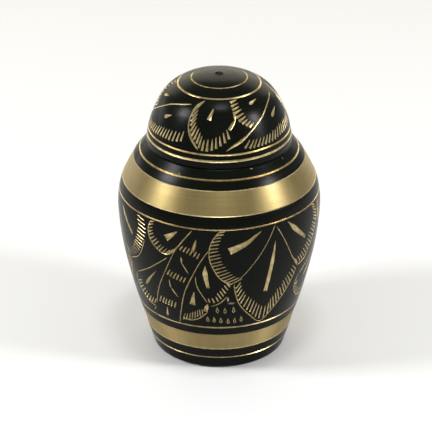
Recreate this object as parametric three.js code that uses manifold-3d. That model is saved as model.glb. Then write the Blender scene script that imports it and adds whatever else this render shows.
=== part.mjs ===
// Keepsake urn of turned brass, lacquered black: a hollow body and a domed lid that lifts off.
// Bare brass bands and rings are turned into the skin, and leaves are cut through the lacquer with a graver.
// Millimetres, +Z up, origin at the middle of the underside.
import * as THREE from "three";
import { mergeVertices } from "three/addons/utils/BufferGeometryUtils.js";
import Module from "manifold-3d";

// Body: heights above the underside, and the outside radius at each turning station
const FOOT_R = 17.06;
const BELLY_R = 26.13;
const BELLY_Z = 39.3;
const BREAK_Z = 45;
const SEAT_Z = 58;
const SEAT_R = 18.45;
const BODY_STATIONS = [
  [0, FOOT_R], [10.5, 20.31], [20, 22.98], [30, 25.13], [BELLY_Z, BELLY_R],
  [BREAK_Z, 25.74], [49.5, 24.27], [54.2, 21.62], [SEAT_Z, SEAT_R],
];
const FOOT_CHAMFER = 0.7;
const SEAM_CHAMFER = 0.25;
const WALL = 1.6;
const FLOOR = 2.4;
const FLOOR_CORNER = 2.2;
const CAVITY_ROWS = [4, 15, 27, BELLY_Z, 47, 52.5];
const MOUTH_R = 14;
const MOUTH_PLATE = 2.4;
const MOUTH_LIP = 2.2;

// Lid: a dome read by its angle from the top, about a centre near the rim's height
const APEX_Z = 76.15;
const RIM_R = 18.6;
const DOME_CENTRE_Z = 59.91;
const LID_STATIONS = [
  [0, APEX_Z], [5.7, 75.5], [11.2, 73.2], [14.6, 70.1], [17.3, 64.6], [18.5, DOME_CENTRE_Z], [RIM_R, SEAT_Z],
];
const COLLAR_GAP = 0.3;
const COLLAR_WALL = 1.4;
const COLLAR_DROP = 5;
const RIM_PLATE = 2;
const LID_HOLLOW_ROWS = [78, 62, 46, 30, 15];
const CUT_THROUGH = 1;

// Turned rings, each a shallow V, as [place, width]: a height on the body, a dome angle on the lid
const BODY_RINGS = [[3.77, 0.5], [14.4, 0.55], [44.75, 0.6], [55.8, 0.5]];
const LID_RINGS = [[25.1, 1.8], [37.5, 2.3], [84.2, 1.9], [89.4, 2.7]];
const RING_DEPTH = 0.25;
const BANDS = [[6.63, 11.86], [47.84, 53.7]];
const BAND_DEPTH = 0.12;
const BAND_EDGE = 0.15;
const PANEL_ROWS = [20, 26, 32.5, BELLY_Z];
const DOME_ROWS = [12, 46, 54, 62, 70, 78];

// Facets around the outside and the inside
const SIDES = 40;
const INNER_SIDES = 24;

// Graver cuts: depth for each millimetre of width, the deepest cut, and the cutter's height above the skin
const CUT_SLOPE = 0.45;
const CUT_MAX = 0.36;
const CUT_LIFT = 0.25;
const TIP_LIFT = 0.1;
const LINE_WIDTH = 0.55;
const LINE_STEP = 3.6;
const LINE_TAPER = 0.12;
const GOUGE_STEPS = 4;
const GOUGE_WIDEST = 0.75;
const REPEATS = [-117, 0, 117];

// Body ornament on the unrolled skin, as [degrees round, height]
const FAN_ROOT = [33, 44.2];
const FAN_LOBES = [
  [[0.5, 44.4], [-4.2, 41.4], [-5.4, 37], [-2.5, 33], [8.5, 28.7]],
  [[8.9, 28.7], [13, 22], [29, 15.1], [44, 21.3], [52, 29]],
  [[52.4, 29.2], [61, 31], [70, 37], [70.5, 44.4]],
];
const FAN_VEINS = [
  [FAN_ROOT, [20, 35.5], [9.6, 29.6]],
  [FAN_ROOT, [42, 37], [51.4, 30.3]],
];
const FAN_GOUGES = [
  { tip: [24, 43.5], heel: [5.6, 38.7], width: 1.6 },
  { tip: [32.6, 39.6], heel: [28.8, 24.8], width: 1.25 },
  { tip: [42, 43.6], heel: [56.6, 37], width: 1.2 },
];
const SPRAY_STEMS = [
  [[-15.3, 44], [-27, 36], [-40, 24], [-47, 16.6]],
  [[-5.6, 39], [-15, 31.5], [-23, 22.5], [-28, 15]],
];
const SPRAY_LOBES = [
  [[-42, 44.4], [-42.5, 39.5], [-34, 36.2], [-24.6, 38.2]],
  [[-30.8, 35], [-60, 26]],
  [[-60, 26], [-61.5, 22], [-55, 18.3], [-47.5, 17]],
  [[-26, 16], [-17, 16.5], [-9.5, 19], [-7, 22.4]],
  [[-6.4, 22], [0, 23], [4.5, 26.5], [7.6, 29.4]],
  [[-13.8, 30.4], [-12.5, 26.6], [-7.4, 22.8]],
];
const SPRAY_GOUGES = [
  { tip: [-24.4, 43.2], heel: [-31.4, 40.6], width: 1.5 },
  { tip: [-12.8, 41.8], heel: [-15, 38.4], width: 0.9 },
  { tip: [-39.5, 29.8], heel: [-51, 23.8], width: 1 },
  { tip: [-35.8, 18.8], heel: [-37.8, 15.8], width: 0.8 },
  { tip: [-15.4, 25.8], heel: [-17.4, 21.8], width: 1.4 },
  { tip: [-8, 34.3], heel: [-6.7, 27.4], width: 1.3 },
];

// Lid ornament on the unrolled dome, as [degrees round, dome angle]
const ROUND_LEAF = [
  [[-19, 40], [-28.6, 52], [-28.4, 66], [-17, 81.4]],
  [[13, 40], [15.5, 55], [9.6, 64]],
];
const LID_STEM = [[6, 81], [30, 67.5], [55, 54], [80, 46.3]];
const LID_GOUGES = [
  { tip: [-6.5, 47], heel: [-10.4, 56.4], width: 1.3 },
  { tip: [49, 43.7], heel: [35.6, 46.2], width: 0.9 },
  { tip: [68, 57.4], heel: [56.4, 62.8], width: 1.1 },
];

const wasm = await Module();
wasm.setup();

// The closed solid that a geometry bounds.
function solidOf(geometry) {
  const bare = geometry.clone();
  bare.deleteAttribute("normal");
  bare.deleteAttribute("uv");
  const merged = mergeVertices(bare, 1e-4);
  return new wasm.Manifold(new wasm.Mesh({
    numProp: 3,
    vertProperties: merged.attributes.position.array,
    triVerts: new Uint32Array(merged.index.array),
  }));
}

// A named mesh that shows a solid in its finish.
function meshOf(name, solid, material) {
  const { vertProperties, triVerts } = solid.getMesh();
  const geometry = new THREE.BufferGeometry();
  geometry.setAttribute("position", new THREE.BufferAttribute(vertProperties, 3));
  geometry.setIndex(new THREE.BufferAttribute(triVerts, 1));
  geometry.computeVertexNormals();
  const mesh = new THREE.Mesh(geometry, material);
  mesh.name = name;
  return mesh;
}

// A solid turned about Z from [radius, height] points that start and end on the axis, from the bottom up.
function turned(points, sides) {
  const outline = points.map(([r, z]) => new THREE.Vector2(r, z));
  return solidOf(new THREE.LatheGeometry(outline, sides).rotateX(Math.PI / 2));
}

// A turned outside skin, read at a place along its profile: a height, or an angle from the top of a dome.
class Skin {
  constructor(stations, placeOf) {
    this.profile = new THREE.SplineCurve(stations.map(([r, z]) => new THREE.Vector2(r, z)));
    this.placeOf = placeOf;
  }

  // The profile's point at a place, sunk square to the skin by a depth.
  at(place, depth = 0) {
    let low = 0;
    let high = 1;
    for (let i = 0; i < 40; i++) {
      const middle = (low + high) / 2;
      if (this.placeOf(this.profile.getPoint(middle)) < place) low = middle;
      else high = middle;
    }
    const point = this.profile.getPoint(low);
    const along = this.profile.getTangent(low);
    const outward = new THREE.Vector2(Math.abs(along.y), -along.x * Math.sign(along.y));
    return point.addScaledVector(outward, -depth);
  }

  // The point in space at an angle round the axis, lifted off the skin. Zero degrees faces -Y.
  point([degrees, place], lift = 0) {
    const { x: r, y: z } = this.at(place, -lift);
    const turn = THREE.MathUtils.degToRad(degrees);
    return new THREE.Vector3(r * Math.sin(turn), -r * Math.cos(turn), z);
  }
}

// Profile rows of a V ring, and of a band sunk between two sharp edges.
const ringRows = ([place, width]) => [[place - width / 2, 0], [place, RING_DEPTH], [place + width / 2, 0]];
const bandRows = ([low, high]) => [
  [low, 0], [low + BAND_EDGE, BAND_DEPTH], [(low + high) / 2, BAND_DEPTH],
  [high - BAND_EDGE, BAND_DEPTH], [high, 0],
];

// A graver's V cut along a path on the skin, pointed at its first end. A gouge is widest near its blunt end.
function cut(skin, path, width, steps, widest) {
  const stations = [];
  for (let i = 0; i <= steps; i++) {
    const { x, y } = path.getPoint(i / steps);
    const near = path.getTangent(i / steps).multiplyScalar(1e-2);
    const ahead = skin.point([x + near.x, y + near.y]);
    const behind = skin.point([x - near.x, y - near.y]);
    const isTip = i === 0 || i === steps;
    const above = skin.point([x, y], isTip ? TIP_LIFT : CUT_LIFT);
    const up = above.clone().sub(skin.point([x, y])).normalize();
    const side = up.clone().cross(ahead.sub(behind)).normalize();
    const share = Math.min(1, (i / steps) / widest, (steps - i) * 2);
    const depth = Math.min(CUT_SLOPE * width * share, CUT_MAX);
    const half = depth > 0 ? (width * share / 2) * (1 + CUT_LIFT / depth) : 0;
    stations.push({ above, up, side, half, depth });
  }
  const corners = [];
  for (const { above, up, side, half, depth } of stations) {
    if (half === 0) corners.push([above]);
    else corners.push([
      above.clone().addScaledVector(side, half),
      above.clone().addScaledVector(side, -half),
      above.clone().addScaledVector(up, -CUT_LIFT - depth),
    ]);
  }
  return solidOf(sleeve(corners));
}

// The closed surface over rows of three corners, which starts and ends in a point.
function sleeve(rows) {
  const positions = [];
  const face = (...points) => points.forEach((p) => positions.push(p.x, p.y, p.z));
  for (let i = 0; i + 1 < rows.length; i++) {
    const here = rows[i];
    const next = rows[i + 1];
    for (let j = 0; j < 3; j++) {
      const k = (j + 1) % 3;
      if (here.length === 3) face(here[j], here[k], next[j % next.length]);
      if (next.length === 3) face(next[j], here[k % here.length], next[k]);
    }
  }
  const geometry = new THREE.BufferGeometry();
  geometry.setAttribute("position", new THREE.Float32BufferAttribute(positions, 3));
  return geometry;
}

// A line of even width through points on the skin.
function line(skin, points) {
  const path = new THREE.SplineCurve(points.map(([x, y]) => new THREE.Vector2(x, y)));
  let length = 0;
  for (let i = 0; i + 1 < points.length; i++) {
    length += skin.point(points[i]).distanceTo(skin.point(points[i + 1]));
  }
  return cut(skin, path, LINE_WIDTH, Math.max(3, Math.round(length / LINE_STEP)), LINE_TAPER);
}

// A wedge that widens from its tip to a blunt heel.
function gouge(skin, { tip, heel, width }) {
  const path = new THREE.LineCurve(new THREE.Vector2(...tip), new THREE.Vector2(...heel));
  return cut(skin, path, width, GOUGE_STEPS, GOUGE_WIDEST);
}

// Takes an ornament's lines and gouges out of a solid, once for each repeat round the axis.
function engrave(solid, skin, lines, gouges) {
  const cuts = [...lines.map((points) => line(skin, points)), ...gouges.map((each) => gouge(skin, each))];
  let carved = solid;
  for (const degrees of REPEATS) {
    for (const each of cuts) carved = carved.subtract(each.rotate([0, 0, degrees]));
  }
  return carved;
}

const bodySkin = new Skin(BODY_STATIONS.map(([z, r]) => [r, z]), ({ y }) => y);
const domeAngle = ({ x, y }) => THREE.MathUtils.radToDeg(Math.atan2(x, y - DOME_CENTRE_Z));
const lidSkin = new Skin(LID_STATIONS, domeAngle);

// The hollow vessel, from its flat underside to the seat round its mouth.
function urnBody() {
  const plainRows = PANEL_ROWS.map((z) => [z, 0]);
  const rows = [...BODY_RINGS.flatMap(ringRows), ...BANDS.flatMap(bandRows), ...plainRows];
  rows.sort((a, b) => a[0] - b[0]);
  const skin = rows.map(([z, depth]) => bodySkin.at(z, depth).toArray());
  const footEdge = bodySkin.at(FOOT_CHAMFER).toArray();
  const seatEdge = bodySkin.at(SEAT_Z - SEAM_CHAMFER).toArray();
  const outside = turned([
    [0, 0], [FOOT_R - FOOT_CHAMFER, 0], footEdge, ...skin,
    seatEdge, [SEAT_R - SEAM_CHAMFER, SEAT_Z], [0, SEAT_Z],
  ], SIDES);
  const plateZ = SEAT_Z - MOUTH_PLATE;
  const inside = turned([
    [0, FLOOR], [bodySkin.at(FLOOR).x - FLOOR_CORNER, FLOOR],
    ...CAVITY_ROWS.map((z) => bodySkin.at(z, WALL).toArray()), [MOUTH_R + MOUTH_LIP, plateZ],
    [MOUTH_R, plateZ], [MOUTH_R, SEAT_Z + CUT_THROUGH], [0, SEAT_Z + CUT_THROUGH],
  ], INNER_SIDES);
  const lines = [...FAN_LOBES, ...FAN_VEINS, ...SPRAY_STEMS, ...SPRAY_LOBES];
  return engrave(outside.subtract(inside), bodySkin, lines, [...FAN_GOUGES, ...SPRAY_GOUGES]);
}

// The hollow dome, with a rim that rests on the seat and a collar that drops into the mouth.
function urnLid() {
  const rows = [...LID_RINGS.flatMap(ringRows), ...DOME_ROWS.map((angle) => [angle, 0])];
  rows.sort((a, b) => b[0] - a[0]);
  const skin = rows.map(([angle, depth]) => lidSkin.at(angle, depth).toArray());
  const collarR = MOUTH_R - COLLAR_GAP;
  const dome = turned([
    [0, SEAT_Z], [RIM_R - SEAM_CHAMFER, SEAT_Z], [RIM_R, SEAT_Z + SEAM_CHAMFER], ...skin, [0, APEX_Z],
  ], SIDES);
  const collarZ = SEAT_Z - COLLAR_DROP;
  const plateZ = SEAT_Z + RIM_PLATE;
  const collar = turned([[0, collarZ], [collarR, collarZ], [collarR, plateZ], [0, plateZ]], INNER_SIDES);
  const boreR = collarR - COLLAR_WALL;
  const inside = turned([
    [0, collarZ - CUT_THROUGH], [boreR, collarZ - CUT_THROUGH], [boreR, plateZ],
    ...LID_HOLLOW_ROWS.map((angle) => lidSkin.at(angle, WALL).toArray()), [0, APEX_Z - WALL],
  ], INNER_SIDES);
  return engrave(dome.add(collar).subtract(inside), lidSkin, [...ROUND_LEAF, LID_STEM], LID_GOUGES);
}

const lacquer = { color: 0x1a1b16, roughness: 0.38, metalness: 0.2 };
const urn = new THREE.Group();
urn.add(meshOf("urn_body", urnBody(), new THREE.MeshStandardMaterial(lacquer)));
urn.add(meshOf("lid", urnLid(), new THREE.MeshStandardMaterial(lacquer)));

export default urn;
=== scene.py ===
"""Dresses a keepsake urn of turned brass: black lacquer, bare brass bands and rings, and engraved leaves.

Lengths are millimetres on the drawing side and metres in the meshes. A spot on a turned skin is given as
degrees round the axis, zero facing the viewer and growing to the right, and a place along the profile: a
height on the body, and an angle from the top of the dome on the lid.
"""

from __future__ import annotations

import logging
import math
from dataclasses import dataclass, field
from enum import Enum, IntEnum
from typing import Callable, Sequence

import bpy
import numpy as np
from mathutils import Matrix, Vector
from mathutils.geometry import delaunay_2d_cdt

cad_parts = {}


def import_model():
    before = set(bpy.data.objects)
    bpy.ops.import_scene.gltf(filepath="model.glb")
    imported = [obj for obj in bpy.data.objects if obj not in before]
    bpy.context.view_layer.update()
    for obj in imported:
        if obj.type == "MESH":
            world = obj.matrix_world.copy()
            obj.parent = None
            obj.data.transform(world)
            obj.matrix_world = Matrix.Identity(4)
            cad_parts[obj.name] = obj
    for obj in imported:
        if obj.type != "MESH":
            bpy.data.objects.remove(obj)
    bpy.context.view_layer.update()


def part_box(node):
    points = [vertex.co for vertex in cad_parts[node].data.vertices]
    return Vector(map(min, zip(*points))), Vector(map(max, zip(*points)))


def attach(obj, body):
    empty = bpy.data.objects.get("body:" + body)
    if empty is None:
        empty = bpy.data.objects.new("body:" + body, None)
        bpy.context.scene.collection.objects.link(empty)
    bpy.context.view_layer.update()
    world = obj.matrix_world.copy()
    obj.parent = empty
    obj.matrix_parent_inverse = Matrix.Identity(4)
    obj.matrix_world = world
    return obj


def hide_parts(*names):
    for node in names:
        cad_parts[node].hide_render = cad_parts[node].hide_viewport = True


LOG = logging.getLogger("urn")
MM = 0.001
BODY = "root"
TURNING = "turning"
HAND_SEED = 41
FULL_TURN = 360.0
TINY = 1e-9

Point = tuple[float, float]
Triple = tuple[float, float, float]
Route = tuple[Point, ...]
Colour = tuple[float, float, float]
Socket = bpy.types.NodeSocket


class Coat(IntEnum):
    """The finishes of a turned piece, in the order of its material slots."""

    LACQUER = 0
    BAND = 1
    CUT = 2
    INSIDE = 3


# Points over which a line tapers
LINE_TAPER = 1.6
# How far along a cut is full, as a share of its length
WEDGE_FULL = 0.4
BLADE_FULL = 0.35
DROP_FULL = 0.72
# Share of a blade's width that is gone at its heel
BLADE_LOSS = 0.45
# Share of a bar's length in which its tip closes
BAR_CLOSING = 0.12
# How round the sides of a point are, 1 for straight
POINT_BULGE = 0.8
DART_BULGE = 0.7
DROP_BULGE = 0.9


class Tool(Enum):
    """How a cut swells along its length, from its first end to its last."""

    LINE = "even, with a short taper at each end"
    LENS = "thin at both ends, widest in the middle"
    WEDGE = "pointed, soon full, with a square heel"
    DART = "pointed, widening all the way to a square heel"
    BLADE = "pointed, widest a third along, with a narrow heel"
    DROP = "pointed, widest near a round heel"
    BAR = "full at its foot, thinner at its tip"

    @property
    def square_end(self) -> int | None:
        """Which end of the cut is a steep wall, first or last, if one is."""
        ends = {Tool.BAR: 0, Tool.WEDGE: -1, Tool.DART: -1, Tool.BLADE: -1}
        return ends.get(self)

    def swell(self, t: np.ndarray, tip: float) -> np.ndarray:
        """Finds the width of a cut along its length.

        Args:
            t: Where along it, from 0 to 1.
            tip: Share of the width at the tip of a bar.

        Returns:
            The width at each t, as a share of the full width.
        """
        left = 1 - t
        if self is Tool.LINE:
            return np.clip(np.minimum(t, left) * len(t) / LINE_TAPER, 0, 1)
        if self is Tool.LENS:
            return np.sin(np.pi * t) ** POINT_BULGE
        if self is Tool.WEDGE:
            return np.minimum(1, t / WEDGE_FULL) ** POINT_BULGE
        if self is Tool.DART:
            return t**DART_BULGE
        if self is Tool.BLADE:
            falling = 1 - BLADE_LOSS * (t - BLADE_FULL) / (1 - BLADE_FULL)
            return np.where(t < BLADE_FULL, (t / BLADE_FULL) ** POINT_BULGE, falling)
        if self is Tool.DROP:
            heel = np.sqrt(np.maximum(1 - ((t - DROP_FULL) / (1 - DROP_FULL)) ** 2, 0))
            return np.where(t < DROP_FULL, (t / DROP_FULL) ** DROP_BULGE, heel)
        return (1 - (1 - tip) * t) * np.minimum(1, left / BAR_CLOSING)


def smooth_path(points: Sequence[Point], samples: int) -> np.ndarray:
    """Runs a smooth curve through points.

    Args:
        points: The points, in order.
        samples: How many samples to give each span.

    Returns:
        The curve's points, one row each.
    """
    spots = np.asarray(points, float)
    padded = np.vstack([spots[:1], spots, spots[-1:]])
    t = np.linspace(0, 1, samples, endpoint=False)[:, None]
    spans = []
    for before, start, end, after in zip(padded, padded[1:], padded[2:], padded[3:]):
        lead = (end - before) / 2
        trail = (after - start) / 2
        cubic = (2 * start - 2 * end + lead + trail) * t**3
        square = (-3 * start + 3 * end - 2 * lead - trail) * t**2
        spans.append(cubic + square + lead * t + start)
    return np.vstack([*spans, spots[-1:]])


def spread(values: Triple, t: np.ndarray) -> np.ndarray:
    """Reads a value that is given at the start, middle and end of a run.

    Args:
        values: The value at the start, middle and end.
        t: Where to read it, from 0 to 1.

    Returns:
        The value at each t.
    """
    return np.interp(t, (0.0, 0.5, 1.0), values)


def travelled(points: np.ndarray) -> np.ndarray:
    """Distance run along a line, at each of its points."""
    return np.concatenate([[0.0], np.cumsum(np.hypot(*np.diff(points, axis=0).T))])


def read_at(path: np.ndarray, gone: np.ndarray, wanted: float | np.ndarray) -> np.ndarray:
    """Points of a path at wanted distances, where gone is the distance at each of its own points."""
    return np.stack([np.interp(wanted, gone, path[:, i]) for i in (0, 1)], axis=-1)


def unit(rows: np.ndarray) -> np.ndarray:
    """Each row as a direction of length 1."""
    return rows / np.maximum(np.linalg.norm(rows, axis=1), TINY)[:, None]


class Skin:
    """The outside of a turned piece, unrolled flat.

    Attributes:
        SAMPLES: Points of the profile for each span between stations.
    """

    SAMPLES = 200

    def __init__(
        self, stations: Sequence[Point], place_of: Callable[[np.ndarray, np.ndarray], np.ndarray]
    ) -> None:
        """Measures the profile.

        Args:
            stations: Radius and height of each turning station, in order of growing place.
            place_of: Gives the place for a radius and a height.
        """
        curve = smooth_path(stations, self.SAMPLES)
        self.radius, self.height = curve.T
        self.along = travelled(curve)
        self.place = place_of(self.radius, self.height)
        self.rises = bool(self.height[-1] > self.height[0])
        tangent = unit(np.gradient(curve, self.along, axis=0))
        turn = 1.0 if self.rises else -1.0
        self.normal_r = turn * tangent[:, 1]
        self.normal_z = -turn * tangent[:, 0]

    def along_at(self, place: float | np.ndarray) -> np.ndarray:
        """Millimetres along the profile at a place."""
        return np.interp(place, self.place, self.along)

    def radius_at(self, along: float | np.ndarray) -> np.ndarray:
        """Radius at a distance along the profile."""
        return np.interp(along, self.along, self.radius)

    def profile(self, along: np.ndarray, depth: float | np.ndarray = 0.0) -> np.ndarray:
        """Finds points of the profile, sunk square to the skin.

        Args:
            along: Distances along the profile.
            depth: How far below the skin.

        Returns:
            Radius and height of each point.
        """
        nr, nz = self.normal(along).T
        r = self.radius_at(along) - nr * depth
        z = np.interp(along, self.along, self.height) - nz * depth
        return np.stack([r, z], axis=1)

    def normal(self, along: np.ndarray) -> np.ndarray:
        """Finds the outward direction of the profile.

        Args:
            along: Distances along the profile.

        Returns:
            Its parts away from the axis and upwards.
        """
        nr = np.interp(along, self.along, self.normal_r)
        nz = np.interp(along, self.along, self.normal_z)
        size = np.hypot(nr, nz)
        return np.stack([nr / size, nz / size], axis=1)


def wheel(degrees: np.ndarray, radial: np.ndarray, up: np.ndarray) -> np.ndarray:
    """Turns radius and height pairs round the axis.

    Args:
        degrees: Angle of each pair.
        radial: Distance, or part of a direction, away from the axis.
        up: Height, or part of a direction, along the axis.

    Returns:
        One row of x, y and z for each pair.
    """
    turn = np.radians(degrees)
    return np.stack([radial * np.sin(turn), -radial * np.cos(turn), up], axis=1)


def lathe_places(degrees: np.ndarray, along: np.ndarray) -> np.ndarray:
    """Where points lie on the lathe, for the finishes: two numbers for the angle, one for the profile."""
    turn = np.radians(degrees)
    return np.stack([np.sin(turn), np.cos(turn), along], axis=1)


@dataclass
class Cut:
    """One graver cut on the unrolled skin.

    Attributes:
        path: Degrees and millimetres along the profile, from end to end.
        half: Half the cut's width at each point, in millimetres.
        depth: The cut's depth at each point.
        floor: Share of the width that is flat at the bottom, 0 for a plain V.
        LEAST_RADIUS: The least radius that degrees are turned into millimetres at.
        NEARBY: How far past the widest half width spots are looked at.
        NARROWEST: The least half width that a depth is worked out with.
        LEAST_STEP_SQUARED: The least square of a step along the path.
    """

    LEAST_RADIUS = 1.0
    NEARBY = 0.05
    NARROWEST = 1e-6
    LEAST_STEP_SQUARED = 1e-12

    path: np.ndarray
    half: np.ndarray
    depth: np.ndarray
    floor: float = 0.0

    def moved(self, degrees: float) -> Cut:
        """The same cut, carried round the axis."""
        return Cut(self.path + (degrees, 0.0), self.half, self.depth, self.floor)

    def rails(self, skin: Skin, share: float) -> np.ndarray:
        """Runs beside the path.

        Args:
            skin: The skin that is cut.
            share: How far out, as a share of the half width, to the left of the path.

        Returns:
            Degrees and millimetres along the profile.
        """
        per_degree = np.radians(1.0) * np.maximum(skin.radius_at(self.path[:, 1]), self.LEAST_RADIUS)
        flat = np.stack([self.path[:, 0] * per_degree, self.path[:, 1]], axis=1)
        steps = unit(np.gradient(self.path, axis=0) * np.stack([per_degree, np.ones(len(flat))], axis=1))
        side = np.stack([-steps[:, 1], steps[:, 0]], axis=1)
        out = flat + side * (self.half * share)[:, None]
        return np.stack([out[:, 0] / per_degree, out[:, 1]], axis=1)

    def near(self, skin: Skin, spots: np.ndarray) -> np.ndarray:
        """Picks the spots of the skin that the cut may reach.

        Args:
            skin: The skin that is cut.
            spots: Degrees and millimetres along the profile, one row each.

        Returns:
            The numbers of those spots.
        """
        reach = self.half.max() + self.NEARBY
        wide = np.degrees(reach / max(skin.radius_at(self.path[:, 1]).min(), self.LEAST_RADIUS))
        low = self.path.min(0) - (wide, reach)
        high = self.path.max(0) + (wide, reach)
        return np.flatnonzero(((spots >= low) & (spots <= high)).all(1))

    def sink(self, skin: Skin, spots: np.ndarray) -> np.ndarray:
        """Finds how deep the cut is at spots of the skin.

        Args:
            skin: The skin that is cut.
            spots: Degrees and millimetres along the profile, one row each.

        Returns:
            The depth at each spot, 0 outside the cut.
        """
        deep = np.zeros(len(spots))
        near = self.near(skin, spots)
        if not len(near):
            return deep
        origin = self.path[0, 0]
        flat = self.flattened(skin, spots[near], origin)
        line = self.flattened(skin, self.path, origin)
        best = np.full(len(near), np.inf)
        for i in range(len(line) - 1):
            step = line[i + 1] - line[i]
            t = np.clip((flat - line[i]) @ step / max(step @ step, self.LEAST_STEP_SQUARED), 0, 1)
            gap = np.linalg.norm(flat - line[i] - t[:, None] * step, axis=1)
            half = self.half[i] + t * (self.half[i + 1] - self.half[i])
            full = self.depth[i] + t * (self.depth[i + 1] - self.depth[i])
            rise = np.clip((1 - gap / np.maximum(half, self.NARROWEST)) / (1 - self.floor), 0, 1)
            closer = gap < best
            deep[near[closer]] = (full * rise)[closer]
            best[closer] = gap[closer]
        return deep

    @staticmethod
    def flattened(skin: Skin, spots: np.ndarray, origin: float) -> np.ndarray:
        """Lays spots out in millimetres, with degrees counted from an origin."""
        arc = np.radians(spots[:, 0] - origin) * skin.radius_at(spots[:, 1])
        return np.stack([arc, spots[:, 1]], axis=1)


@dataclass(frozen=True)
class Line:
    """A narrow V cut.

    Attributes:
        points: Degrees and place of each point, from end to end.
        width: Full width, in millimetres.
        tool: How it swells.
    """

    points: Route
    width: float
    tool: Tool = Tool.LINE


@dataclass(frozen=True)
class Gouge:
    """A broad cut from a pointed tip to a heel.

    Attributes:
        points: Degrees and place of each point, from the tip to the heel.
        width: Width where it is broadest, in millimetres.
        tool: How it swells.
        floor: Share of the width that is flat at the bottom.
    """

    points: Route
    width: float
    tool: Tool = Tool.WEDGE
    floor: float = 0.22


@dataclass(frozen=True)
class Fringe:
    """Short strokes that stand side by side on a line.

    Attributes:
        foot: The line that they stand on.
        count: How many strokes.
        lengths: Their length at the start, middle and end of the line, in millimetres.
        leans: Their direction there, in degrees anticlockwise from the right.
        width: Width of a stroke at its foot.
        tip: Share of that width that is left at the tip.
    """

    foot: Route
    count: int
    lengths: Triple
    leans: Triple
    width: float = 0.41
    tip: float = 0.62


@dataclass(frozen=True)
class Motif:
    """A group of cuts that repeats round the axis.

    Attributes:
        lines: Its narrow cuts.
        gouges: Its broad cuts.
        fringes: Its rows of short strokes.
    """

    lines: tuple[Line, ...] = ()
    gouges: tuple[Gouge, ...] = ()
    fringes: tuple[Fringe, ...] = ()


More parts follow.
